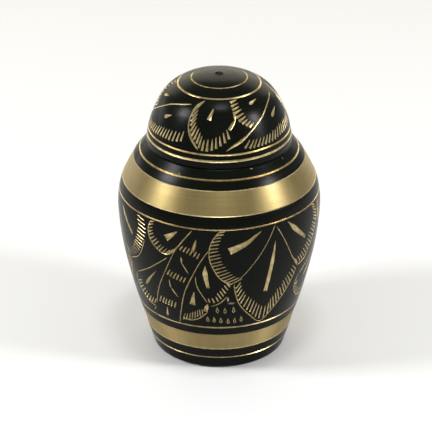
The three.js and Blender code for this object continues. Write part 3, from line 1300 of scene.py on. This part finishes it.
def trailing_leaf(upper: Gouge, lower: Gouge) -> Motif:
    """Draws a leaf that trails from its stem round the lid.

    Args:
        upper: The drop above the stem.
        lower: The drop below it.

    Returns:
        The leaf.
    """
    return Motif(
        lines=(Line(STEM, 0.31), Line(STEM_FOOT, 0.66, Tool.LENS)),
        gouges=(upper, lower),
        fringes=(Fringe(TRAIL_FOOT, 17, (2.4, 2.8, 2.8), (50.0, 68.0, 84.0), 0.59, 0.35),),
    )


TRAILING_LEAF = trailing_leaf(
    Gouge(((49.6, 43.4), (35.8, 46.3)), 0.8, Tool.DROP, 0.0),
    Gouge(((68.4, 57.2), (56.4, 62.8)), 0.95, Tool.DROP, 0.0),
)
LOWER_TRAILING_LEAF = trailing_leaf(
    Gouge(((45.0, 48.4), (33.2, 51.2)), 0.75, Tool.DROP, 0.0),
    Gouge(((66.8, 59.4), (56.8, 64.0)), 0.9, Tool.DROP, 0.0),
)


@dataclass
class UrnBody(TurnedPiece):
    """The hollow vessel, from its flat underside to the seat round its mouth.

    Attributes:
        foot_r: Radius at the underside, before its edge is eased.
        flank: Radius and height of the turning stations between foot and belly.
        belly_z: Height of the belly.
        shoulder: Radius and height of the stations between belly and seat.
        seat_r: Radius at the seat, before its edge is eased.
        foot_edge: How far the foot's edge is eased.
        foot_knee: How far in and up the point lies that the foot's round edge bends towards.
        edge_rows: Rows round the foot's edge.
        under_rings: Radii of the rows of the underside.
        floor: Thickness of the floor.
        mouth_r: Radius of the mouth.
        plate: Thickness of the top round the mouth.
        inset: Width of the flat under the top, and how far inside the skin the flat floor ends.
        hollow_rows: Heights of the rows of the hollow.
    """

    node: str = "urn_body"
    ring_places: Route = ((3.77, 0.37), (14.4, 0.48), (44.75, 0.38), (55.8, 0.45))
    band_places: Route = ((6.63, 11.86), (47.84, 53.7))
    foot_r: float = 17.06
    flank: Route = ((20.31, 10.5), (22.98, 20.0), (25.13, 30.0))
    belly_z: float = 39.3
    shoulder: Route = ((25.74, 45.0), (24.27, 49.5), (21.62, 54.2))
    seat_r: float = 18.45
    foot_edge: float = 0.7
    foot_knee: Point = (0.08, 0.12)
    edge_rows: int = 5
    under_rings: Triple = (0.0, 6.0, 12.0)
    floor: float = 2.4
    mouth_r: float = 14.0
    plate: float = 2.4
    inset: float = 2.2
    hollow_rows: tuple[float, ...] = (52.5, 47.0, 39.3, 27.0, 15.0, 4.0)

    def skin(self) -> Skin:
        """Turns the body's outside, from the underside up.

        Returns:
            The skin, whose places are heights.
        """
        belly_r, seat_z = self.sizes()
        foot, belly, seat = (self.foot_r, 0.0), (belly_r, self.belly_z), (self.seat_r, seat_z)
        return Skin((foot, *self.flank, belly, *self.shoulder, seat), lambda r, z: z)

    def span(self, skin: Skin) -> Point:
        """The skin between the eased edges of the foot and the seat."""
        return float(skin.along_at(self.foot_edge)), float(skin.along_at(self.sizes()[1] - self.seam_edge))

    def engraving(self, skin: Skin) -> list[Cut]:
        """Cuts fan leaves, sprays and drops three times round, and a few chips in the shoulder.

        Args:
            skin: The body's outside.

        Returns:
            The cuts.
        """
        hand = Engraver(skin)
        cuts = hand.cuts(FLATTER_FAN_LEAF, self.turns[:1]) + hand.cuts(FAN_LEAF, self.turns[1:])
        cuts += hand.cuts(SPRAY, self.turns[:2]) + hand.cuts(SPARER_SPRAY, self.turns[2:])
        return cuts + hand.cuts(seed_drops(), self.turns) + hand.cuts(CHIPS, (0.0,))

    def rest(self, skin: Skin) -> list[PlainRound]:
        """Turns the underside, seat, mouth and inside.

        Args:
            skin: The body's outside.

        Returns:
            The plain stretches.
        """
        seat_z = self.sizes()[1]
        ledge_z = seat_z - self.plate
        foot, seam = skin.profile(np.array(self.span(skin)))
        corner = np.array([self.foot_r - self.foot_edge, 0.0])
        knee = np.array([self.foot_r - self.foot_knee[0], self.foot_knee[1]])
        t = np.linspace(0, 1, self.edge_rows)[:, None]
        foot_edge = (1 - t) ** 2 * corner + 2 * t * (1 - t) * knee + t**2 * foot
        under = np.array([*((r, 0.0) for r in self.under_rings), corner])
        seat = (self.seat_r - self.seam_edge, seat_z)
        mouth = (self.mouth_r, seat_z)
        ledge = (self.mouth_r, ledge_z)
        floor_r = float(skin.radius_at(skin.along_at(self.floor))) - self.inset
        hollow = np.vstack([
            [ledge, (self.mouth_r + self.inset, ledge_z)],
            skin.profile(skin.along_at(np.array(self.hollow_rows)), self.wall),
            [(r, self.floor) for r in (floor_r, floor_r / 2, 0.0)],
        ])
        return [
            PlainRound(under, Coat.LACQUER),
            PlainRound(foot_edge, Coat.LACQUER),
            PlainRound(np.array([seam, seat]), Coat.LACQUER),
            PlainRound(np.array([seat, mouth]), Coat.INSIDE),
            PlainRound(np.array([mouth, ledge]), Coat.INSIDE),
            PlainRound(hollow, Coat.INSIDE),
        ]


@dataclass
class UrnLid(TurnedPiece):
    """The hollow dome, with a rim that rests on the seat and a collar that drops into the mouth.

    Attributes:
        dome: Radius and height of the turning stations between the top and the centre's height.
        centre_z: Height of the centre that dome angles are read about.
        cheek_r: Radius at that height.
        seat_z: Height of the seat that the rim rests on.
        crown: Dome angle where the plain crown meets the engraved skin.
        crown_rows: Rows of the crown.
        pip_r: Radius of the small turning mark at the top.
        pip_depth: Depth of the groove round it.
        pip_lip: How far the groove's outer edge stands up.
        pip_rings: Radii, as shares of pip_r, of the crown's end, the groove's floor and the pip's top.
        collar_r: Radius of the collar.
        bore_r: Radius of the hole through the collar.
        plate: Thickness of the rim over the seat.
        hollow_angles: Dome angles of the rows of the hollow.
    """

    node: str = "lid"
    ring_places: Route = ((25.1, 0.3), (37.5, 0.46), (84.2, 0.44), (89.4, 0.6))
    row: float = 0.9
    dome: Route = ((5.7, 75.5), (11.2, 73.2), (14.6, 70.1), (17.3, 64.6))
    centre_z: float = 59.91
    cheek_r: float = 18.5
    seat_z: float = 58.0
    crown: float = 20.0
    crown_rows: int = 9
    pip_r: float = 1.05
    pip_depth: float = 0.3
    pip_lip: float = 0.03
    pip_rings: tuple[float, ...] = (1.6, 0.75, 0.5, 0.25)
    collar_r: float = 13.7
    bore_r: float = 12.3
    plate: float = 2.0
    hollow_angles: tuple[float, ...] = (15.0, 30.0, 46.0, 62.0, 78.0)

    def skin(self) -> Skin:
        """Turns the dome's outside, from the top down.

        Returns:
            The skin, whose places are dome angles.
        """
        rim_r, apex_z = self.sizes()
        top, cheek, rim = (0.0, apex_z), (self.cheek_r, self.centre_z), (rim_r, self.seat_z)
        return Skin((top, *self.dome, cheek, rim), lambda r, z: np.degrees(np.arctan2(r, z - self.centre_z)))

    def span(self, skin: Skin) -> Point:
        """The skin from the crown to the eased rim."""
        return float(skin.along_at(self.crown)), float(skin.along[-1] - self.seam_edge)

    def engraving(self, skin: Skin) -> list[Cut]:
        """Cuts round leaves and trailing leaves, three times round.

        Args:
            skin: The dome's outside.

        Returns:
            The cuts.
        """
        hand = Engraver(skin)
        cuts = hand.cuts(ROUND_LEAF, self.turns)
        cuts += hand.cuts(LOWER_TRAILING_LEAF, self.turns[:1])
        return cuts + hand.cuts(TRAILING_LEAF, self.turns[1:])

    def rest(self, skin: Skin) -> list[PlainRound]:
        """Turns the crown, rim, collar and inside.

        Args:
            skin: The dome's outside.

        Returns:
            The plain stretches.
        """
        rim_r, apex_z = self.sizes()
        low, high = self.span(skin)
        crown_end, groove_out, groove_in, pip_top = (self.pip_r * share for share in self.pip_rings)
        crown = skin.profile(np.linspace(low, crown_end, self.crown_rows))
        top_z = float(np.interp(self.pip_r, skin.radius, skin.height))
        groove_z = top_z - self.pip_depth
        pip = np.vstack([
            crown[-1:],
            [(self.pip_r, top_z + self.pip_lip), (groove_out, groove_z), (groove_in, groove_z)],
            [(pip_top, top_z), (0.0, top_z)],
        ])
        drop_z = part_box(self.node)[0].z / MM
        seat = (rim_r - self.seam_edge, self.seat_z)
        collar_top, collar_end = (self.collar_r, self.seat_z), (self.collar_r, drop_z)
        bore_end = (self.bore_r, drop_z)
        hollow = np.vstack([
            [(0.0, apex_z - self.wall)],
            skin.profile(skin.along_at(np.array(self.hollow_angles)), self.wall),
            [(self.bore_r, self.seat_z + self.plate), bore_end],
        ])
        return [
            PlainRound(crown, Coat.LACQUER, smooth=True),
            PlainRound(pip, Coat.LACQUER),
            PlainRound(np.array([seat, *skin.profile(np.array([high]))]), Coat.LACQUER),
            PlainRound(np.array([collar_top, seat]), Coat.INSIDE),
            PlainRound(np.array([bore_end, collar_end, collar_top]), Coat.INSIDE),
            PlainRound(hollow, Coat.INSIDE),
        ]


class Wiring:
    """A material's node tree, with short ways to add what the finishes here use.

    Attributes:
        NOISE_SPAN: The span that most noise keeps within.
    """

    NOISE_SPAN = (0.3, 0.7)

    def __init__(self, name: str) -> None:
        """Starts a material.

        Args:
            name: The material's name.
        """
        self.material = bpy.data.materials.new(name)
        self.material.use_nodes = True
        self.tree = self.material.node_tree
        self.shader = next(n for n in self.tree.nodes if n.type == "BSDF_PRINCIPLED")

    def node(self, kind: str, **values: object) -> bpy.types.Node:
        """Adds a node and sets its own values.

        Args:
            kind: The node's type name.
            values: Properties to set.

        Returns:
            The node.
        """
        made = self.tree.nodes.new(kind)
        for key, value in values.items():
            setattr(made, key, value)
        return made

    def feed(self, node: bpy.types.Node, **inputs: float | Triple | Socket) -> None:
        """Gives a node's inputs their values.

        Args:
            node: The node.
            inputs: A plain value or another node's output for each input, with _ for a space in its name.
        """
        for name, value in inputs.items():
            socket = node.inputs[name.replace("_", " ")]
            if isinstance(value, Socket):
                self.tree.links.new(value, socket)
            else:
                socket.default_value = value

    def lathe_noise(self, scale: Triple, detail: float = 4.0, roughness: float = 0.65) -> Socket:
        """Adds noise that follows the turning.

        Args:
            scale: Features round the axis, twice, and for each millimetre along the profile.
            detail: Layers of detail.
            roughness: Strength of the finer layers.

        Returns:
            The noise, from 0 to 1.
        """
        place = self.node("ShaderNodeAttribute", attribute_name=TURNING)
        mapping = self.node("ShaderNodeMapping")
        self.feed(mapping, Vector=place.outputs["Vector"], Scale=scale)
        noise = self.node("ShaderNodeTexNoise")
        self.feed(noise, Vector=mapping.outputs["Vector"], Scale=1.0, Detail=detail, Roughness=roughness)
        return noise.outputs["Fac"]

    def grain(self, per_metre: float, detail: float = 2.0) -> Socket:
        """Adds even noise in space.

        Args:
            per_metre: Features for each metre.
            detail: Layers of detail.

        Returns:
            The noise, from 0 to 1.
        """
        place = self.node("ShaderNodeTexCoord")
        noise = self.node("ShaderNodeTexNoise")
        self.feed(noise, Vector=place.outputs["Object"], Scale=per_metre, Detail=detail)
        return noise.outputs["Fac"]

    def away(self, centre: Triple, size: Triple) -> Socket:
        """Adds a distance from a place, in metres.

        Args:
            centre: The place.
            size: What counts as 1 along each axis.

        Returns:
            The distance, in those sizes.
        """
        value = self.node("ShaderNodeTexCoord").outputs["Object"]
        for operation, by in (("SUBTRACT", centre), ("DIVIDE", size)):
            step = self.node("ShaderNodeVectorMath", operation=operation)
            self.tree.links.new(value, step.inputs[0])
            step.inputs[1].default_value = by
            value = step.outputs["Vector"]
        length = self.node("ShaderNodeVectorMath", operation="LENGTH")
        self.tree.links.new(value, length.inputs[0])
        return length.outputs["Value"]

    def ranged(self, value: Socket, made: Point, span: Point = NOISE_SPAN) -> Socket:
        """Stretches a value.

        Args:
            value: What to stretch.
            made: What it becomes at the two ends of its span.
            span: Where the stretch starts and ends.

        Returns:
            The stretched value, kept within the range.
        """
        node = self.node("ShaderNodeMapRange")
        self.feed(node, Value=value, From_Min=span[0], From_Max=span[1], To_Min=made[0], To_Max=made[1])
        return node.outputs["Result"]

    def blend(self, share: Socket, one: Colour | Socket, two: Colour) -> Socket:
        """Mixes two colours.

        Args:
            share: How much of the second.
            one: The first colour, plain or from another node.
            two: The second colour.

        Returns:
            The mixed colour.
        """
        made = self.node("ShaderNodeMix", data_type="RGBA")
        first, second = [socket for socket in made.inputs if socket.type == "RGBA"]
        if isinstance(one, Socket):
            self.tree.links.new(one, first)
        else:
            first.default_value = (*one, 1.0)
        second.default_value = (*two, 1.0)
        self.feed(made, Factor=share)
        return next(socket for socket in made.outputs if socket.type == "RGBA")

    def bump(self, height: Socket, strength: float, distance: float, under: Socket | None = None) -> Socket:
        """Adds a bump.

        Args:
            height: What raises the surface.
            strength: How much shows.
            distance: Height of the bump, in metres.
            under: A bump that this one lies on.

        Returns:
            The bumped normal.
        """
        made = self.node("ShaderNodeBump")
        self.feed(made, Height=height, Strength=strength, Distance=distance)
        if under is not None:
            self.feed(made, Normal=under)
        return made.outputs["Normal"]


@dataclass(frozen=True)
class SatinLacquer:
    """Black satin lacquer over turned metal, with faint turning lines and uneven gloss.

    Attributes:
        name: The material's name.
        dark: Its darker tone.
        light: Its lighter tone.
        clouds: Patches of the two tones for each metre.
        cloud_detail: Layers of detail in them.
        gloss: Roughness of its glossiest and of its dullest lines.
        shine: Strength of its reflections.
        lines: Scale of the turning lines, round the axis and along the profile.
        line_relief: How much the lines show in the surface, and their height in metres.
        peel: Dimples of the sprayed coat for each metre.
        peel_relief: How much the dimples show, and their height.
        rubbed: Colour of one rubbed spot.
        rub_at: Where that spot is, in metres.
        rub_size: How far it reaches along each axis.
        rub_strength: How much of its colour shows, at its middle and past its edge.
        rub_fade: Where it starts to fade and where it ends, as shares of its reach.
    """

    name: str = "black_satin_lacquer"
    dark: Colour = (0.0016, 0.0023, 0.0011)
    light: Colour = (0.0031, 0.0039, 0.0022)
    clouds: float = 140.0
    cloud_detail: float = 3.0
    gloss: Point = (0.22, 0.3)
    shine: float = 0.075
    lines: Triple = (0.9, 0.9, 3.2)
    line_relief: Point = (0.3, 0.00004)
    peel: float = 2600.0
    peel_relief: Point = (0.05, 0.00004)
    rubbed: Colour = (0.3, 0.3, 0.29)
    rub_at: Triple = (0.00305, -0.0234, 0.0226)
    rub_size: Triple = (0.0011, 0.004, 0.00042)
    rub_strength: Point = (0.55, 0.0)
    rub_fade: Point = (0.3, 1.0)

    def make(self) -> bpy.types.Material:
        """Mixes the lacquer.

        Returns:
            The material.
        """
        wiring = Wiring(self.name)
        lines = wiring.lathe_noise(self.lines)
        tone = wiring.blend(wiring.grain(self.clouds, self.cloud_detail), self.dark, self.light)
        rub = wiring.ranged(wiring.away(self.rub_at, self.rub_size), self.rub_strength, self.rub_fade)
        peel = wiring.bump(wiring.grain(self.peel), *self.peel_relief)
        wiring.feed(
            wiring.shader,
            Base_Color=wiring.blend(rub, tone, self.rubbed),
            Roughness=wiring.ranged(lines, self.gloss),
            Normal=wiring.bump(lines, *self.line_relief, peel),
            Specular_IOR_Level=self.shine,
        )
        return wiring.material


@dataclass(frozen=True)
class BrushedBand:
    """Bare brass turned fine, which stretches light along the profile.

    Attributes:
        name: The material's name.
        deep: Its deeper tone.
        pale: Its paler tone.
        worn: Colour of its darkest lines.
        gloss: Roughness of its glossiest and of its dullest lines.
        streaks: Scale of the streaks of tone, round the axis and along the profile.
        lines: Scale of the turning lines.
        line_relief: How much the lines show in the surface, and their height in metres.
        wear: How much of the worn colour shows, where the wear starts and where it is full.
        wear_span: The noise at those two.
        stretch: How far light is stretched.
        across: Turn of the stretch, as a share of a full turn.
        varnish: Strength of the clear coat.
        varnish_gloss: Its roughness.
    """

    name: str = "turned_brass_band"
    deep: Colour = (0.285, 0.218, 0.09)
    pale: Colour = (0.335, 0.258, 0.109)
    worn: Colour = (0.24, 0.18, 0.072)
    gloss: Point = (0.47, 0.55)
    streaks: Triple = (9.0, 9.0, 0.08)
    lines: Triple = (1.6, 1.6, 4.0)
    line_relief: Point = (0.12, 0.00003)
    wear: Point = (0.0, 0.45)
    wear_span: Point = (0.4, 0.75)
    stretch: float = 0.82
    across: float = 0.25
    varnish: float = 0.15
    varnish_gloss: float = 0.3

    def make(self) -> bpy.types.Material:
        """Mixes the finish.

        Returns:
            The material.
        """
        wiring = Wiring(self.name)
        streaks = wiring.lathe_noise(self.streaks)
        lines = wiring.lathe_noise(self.lines)
        tone = wiring.blend(wiring.ranged(streaks, (0.0, 1.0)), self.deep, self.pale)
        wear = wiring.ranged(lines, self.wear, self.wear_span)
        tangent = wiring.node("ShaderNodeTangent", direction_type="RADIAL", axis="Z")
        wiring.feed(
            wiring.shader,
            Base_Color=wiring.blend(wear, tone, self.worn),
            Metallic=1.0,
            Roughness=wiring.ranged(lines, self.gloss),
            Normal=wiring.bump(lines, *self.line_relief),
            Tangent=tangent.outputs["Tangent"],
            Anisotropic=self.stretch,
            Anisotropic_Rotation=self.across,
            Coat_Weight=self.varnish,
            Coat_Roughness=self.varnish_gloss,
        )
        return wiring.material


@dataclass(frozen=True)
class CutBrass:
    """Brass laid bare by a graver or a ring tool.

    Attributes:
        name: The material's name.
        deep: Its deeper tone.
        pale: Its paler tone.
        gloss: Roughness where it is glossiest and where it is dullest.
        patches: Patches of the two tones for each metre.
        patch_detail: Layers of detail in them.
        patch_span: The noise where the deeper tone ends and where the paler is full.
        facets: Changes of gloss for each metre.
        chatter: Marks of the tool for each metre.
        chatter_relief: How much the marks show, and their height in metres.
    """

    name: str = "cut_brass"
    deep: Colour = (0.44, 0.355, 0.176)
    pale: Colour = (0.66, 0.55, 0.32)
    gloss: Point = (0.28, 0.42)
    patches: float = 900.0
    patch_detail: float = 3.0
    patch_span: Point = (0.35, 0.65)
    facets: float = 2400.0
    chatter: float = 5200.0
    chatter_relief: Point = (0.25, 0.00004)

    def make(self) -> bpy.types.Material:
        """Mixes the finish.

        Returns:
            The material.
        """
        wiring = Wiring(self.name)
        patches = wiring.ranged(wiring.grain(self.patches, self.patch_detail), (0.0, 1.0), self.patch_span)
        wiring.feed(
            wiring.shader,
            Base_Color=wiring.blend(patches, self.deep, self.pale),
            Metallic=1.0,
            Roughness=wiring.ranged(wiring.grain(self.facets), self.gloss),
            Normal=wiring.bump(wiring.grain(self.chatter), *self.chatter_relief),
        )
        return wiring.material


@dataclass(frozen=True)
class DullBrass:
    """Unpolished brass inside the urn, with coarse turning marks.

    Attributes:
        name: The material's name.
        deep: Its deeper tone.
        pale: Its paler tone.
        gloss: Roughness of its glossiest and of its dullest marks.
        marks: Scale of the turning marks, round the axis and along the profile.
        mark_detail: Layers of detail in them.
        mark_roughness: Strength of the finer layers.
        mark_relief: How much the marks show in the surface, and their height in metres.
    """

    name: str = "dull_brass_inside"
    deep: Colour = (0.24, 0.18, 0.075)
    pale: Colour = (0.36, 0.28, 0.12)
    gloss: Point = (0.42, 0.6)
    marks: Triple = (1.4, 1.4, 3.0)
    mark_detail: float = 3.0
    mark_roughness: float = 0.55
    mark_relief: Point = (0.3, 0.00008)

    def make(self) -> bpy.types.Material:
        """Mixes the finish.

        Returns:
            The material.
        """
        wiring = Wiring(self.name)
        marks = wiring.lathe_noise(self.marks, self.mark_detail, self.mark_roughness)
        wiring.feed(
            wiring.shader,
            Base_Color=wiring.blend(marks, self.deep, self.pale),
            Metallic=1.0,
            Roughness=wiring.ranged(marks, self.gloss),
            Normal=wiring.bump(marks, *self.mark_relief),
        )
        return wiring.material


@dataclass(frozen=True)
class PaleFloor:
    """The plain floor's matt white paint.

    Attributes:
        name: The material's name.
        dark: Its darker tone.
        light: Its lighter tone.
        clouds: Patches of the two tones for each metre.
        roughness: How matt it is.
    """

    name: str = "pale_floor"
    dark: Colour = (0.65, 0.65, 0.65)
    light: Colour = (0.67, 0.67, 0.67)
    clouds: float = 6.0
    roughness: float = 0.9

    def make(self) -> bpy.types.Material:
        """Mixes the paint.

        Returns:
            The material.
        """
        wiring = Wiring(self.name)
        tone = wiring.blend(wiring.grain(self.clouds), self.dark, self.light)
        wiring.feed(wiring.shader, Base_Color=tone, Roughness=self.roughness, Specular_IOR_Level=0.0)
        return wiring.material


def seen_from(azimuth: float, elevation: float) -> Vector:
    """The direction of a lamp or a camera from what it is aimed at, in degrees round and up."""
    turn, tilt = math.radians(azimuth), math.radians(elevation)
    return Vector((math.sin(turn) * math.cos(tilt), -math.cos(turn) * math.cos(tilt), math.sin(tilt)))


@dataclass(frozen=True)
class Softbox:
    """A soft rectangular lamp aimed at the urn.

    Attributes:
        name: The lamp's name.
        azimuth: Degrees round from the viewer, to the right.
        elevation: Degrees above the floor.
        distance: From the urn, in metres.
        size: Width and height, in metres.
        power: In watts.
        tint: Colour of its light.
    """

    name: str
    azimuth: float
    elevation: float
    distance: float
    size: Point
    power: float
    tint: Colour = (1.0, 1.0, 1.0)

    def place(self, aim: Vector) -> bpy.types.Object:
        """Sets the lamp up.

        Args:
            aim: Where it points.

        Returns:
            The lamp.
        """
        data = bpy.data.lights.new(self.name, "AREA")
        data.shape = "RECTANGLE"
        data.size, data.size_y = self.size
        data.energy = self.power
        data.color = self.tint
        lamp = put(self.name, data)
        way = seen_from(self.azimuth, self.elevation)
        lamp.location = aim + way * self.distance
        lamp.rotation_euler = way.to_track_quat("Z", "Y").to_euler()
        return lamp


@dataclass
class Studio:
    """A pale floor, soft lamps and the camera.

    Attributes:
        frame_px: Width of the square picture, in pixels.
        focal_px: Focal length in the same pixels.
        sensor_mm: Width of the camera's sensor.
        distance: From the camera to the aim, in metres.
        elevation: How far the camera looks down, in degrees.
        aim_z: Height of the aim on the axis, in metres.
        axis_px: How far right of the picture's middle the axis stands, in pixels.
        drop_px: How far below the middle the aim stands, in pixels.
        floor_half: Half the floor's side, in metres.
        room: Strength of the light from all round.
        lamps: The lamps.
    """

    frame_px: float = 432.0
    focal_px: float = 2500.0
    sensor_mm: float = 36.0
    distance: float = 0.65
    elevation: float = 27.0
    aim_z: float = 0.03544
    axis_px: float = 3.14
    drop_px: float = 0.5
    floor_half: float = 3.0
    room: float = 0.4
    lamps: tuple[Softbox, ...] = (
        Softbox("softbox_left", -78.5, 36.0, 0.6, (0.142, 0.175), 2.8),
        Softbox("softbox_right", 71.5, 28.0, 0.6, (0.132, 0.165), 2.8),
        Softbox("softbox_right_low", 73.0, 13.0, 0.7, (0.12, 0.1), 0.19),
        Softbox("softbox_top", 12.0, 79.0, 0.7, (0.14, 0.1), 1.3, (0.95, 0.99, 1.0)),
        Softbox("card_back", 180.0, 23.0, 1.0, (1.6, 0.68), 7.0, (1.0, 0.91, 0.71)),
        Softbox("card_left", -126.0, 4.0, 1.0, (0.5, 0.18), 0.6),
        Softbox("card_front", 0.0, 24.0, 0.9, (0.55, 0.45), 0.3),
    )

    def camera(self) -> bpy.types.Object:
        """Sets the camera where the photograph was taken from.

        Returns:
            The camera.
        """
        data = bpy.data.cameras.new("camera")
        data.sensor_width = self.sensor_mm
        data.lens = data.sensor_width * self.focal_px / self.frame_px
        tilt = math.radians(self.elevation)
        way = seen_from(0.0, self.elevation)
        up = Vector((0.0, math.sin(tilt), math.cos(tilt)))
        per_px = self.distance / self.focal_px
        aside = Vector((-self.axis_px * per_px, 0.0, 0.0)) + up * (self.drop_px * per_px)
        camera = put("camera", data)
        camera.location = Vector((0.0, 0.0, self.aim_z)) + way * self.distance + aside
        camera.rotation_euler = way.to_track_quat("Z", "Y").to_euler()
        bpy.context.scene.camera = camera
        return camera

    def floor(self) -> bpy.types.Object:
        """Lays the floor.

        Returns:
            The floor.
        """
        mesh = bpy.data.meshes.new("floor")
        half = self.floor_half
        spots = [(-half, -half, 0.0), (half, -half, 0.0), (half, half, 0.0), (-half, half, 0.0)]
        mesh.from_pydata(spots, [], [range(len(spots))])
        mesh.materials.append(PaleFloor().make())
        floor = put("floor", mesh)
        return floor

    def light(self) -> None:
        """Lights the room and the lamps."""
        world = bpy.data.worlds.new("soft_room")
        world.use_nodes = True
        backdrop = next(n for n in world.node_tree.nodes if n.type == "BACKGROUND")
        backdrop.inputs["Color"].default_value = (1.0, 1.0, 1.0, 1.0)
        backdrop.inputs["Strength"].default_value = self.room
        bpy.context.scene.world = world
        aim = Vector((0.0, 0.0, self.aim_z))
        for lamp in self.lamps:
            lamp.place(aim)
        bpy.context.scene.view_settings.view_transform = "Standard"

    def set_up(self) -> None:
        """Builds the whole studio."""
        self.camera()
        self.floor()
        self.light()
        LOG.info("studio: camera, floor and %d lamps", len(self.lamps))


# A darker copy of the lid's cut brass for the body's cuts, rings and band walls: painted shade, so that they
# look less lit than the lid's.
SHADED_BODY_CUT_BRASS = CutBrass("cut_brass_body_painted_shade", (0.36, 0.283, 0.136), (0.54, 0.44, 0.243))


def main() -> None:
    """Dresses the urn, piece by piece, in its studio."""
    logging.basicConfig(level=logging.INFO, format="%(name)s: %(message)s")
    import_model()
    Studio().set_up()
    lacquer, band, inside = SatinLacquer().make(), BrushedBand().make(), DullBrass().make()
    for piece, cut in ((UrnBody(), SHADED_BODY_CUT_BRASS), (UrnLid(), CutBrass())):
        piece.build([lacquer, band, cut.make(), inside])


if __name__ == "__main__":
    main()
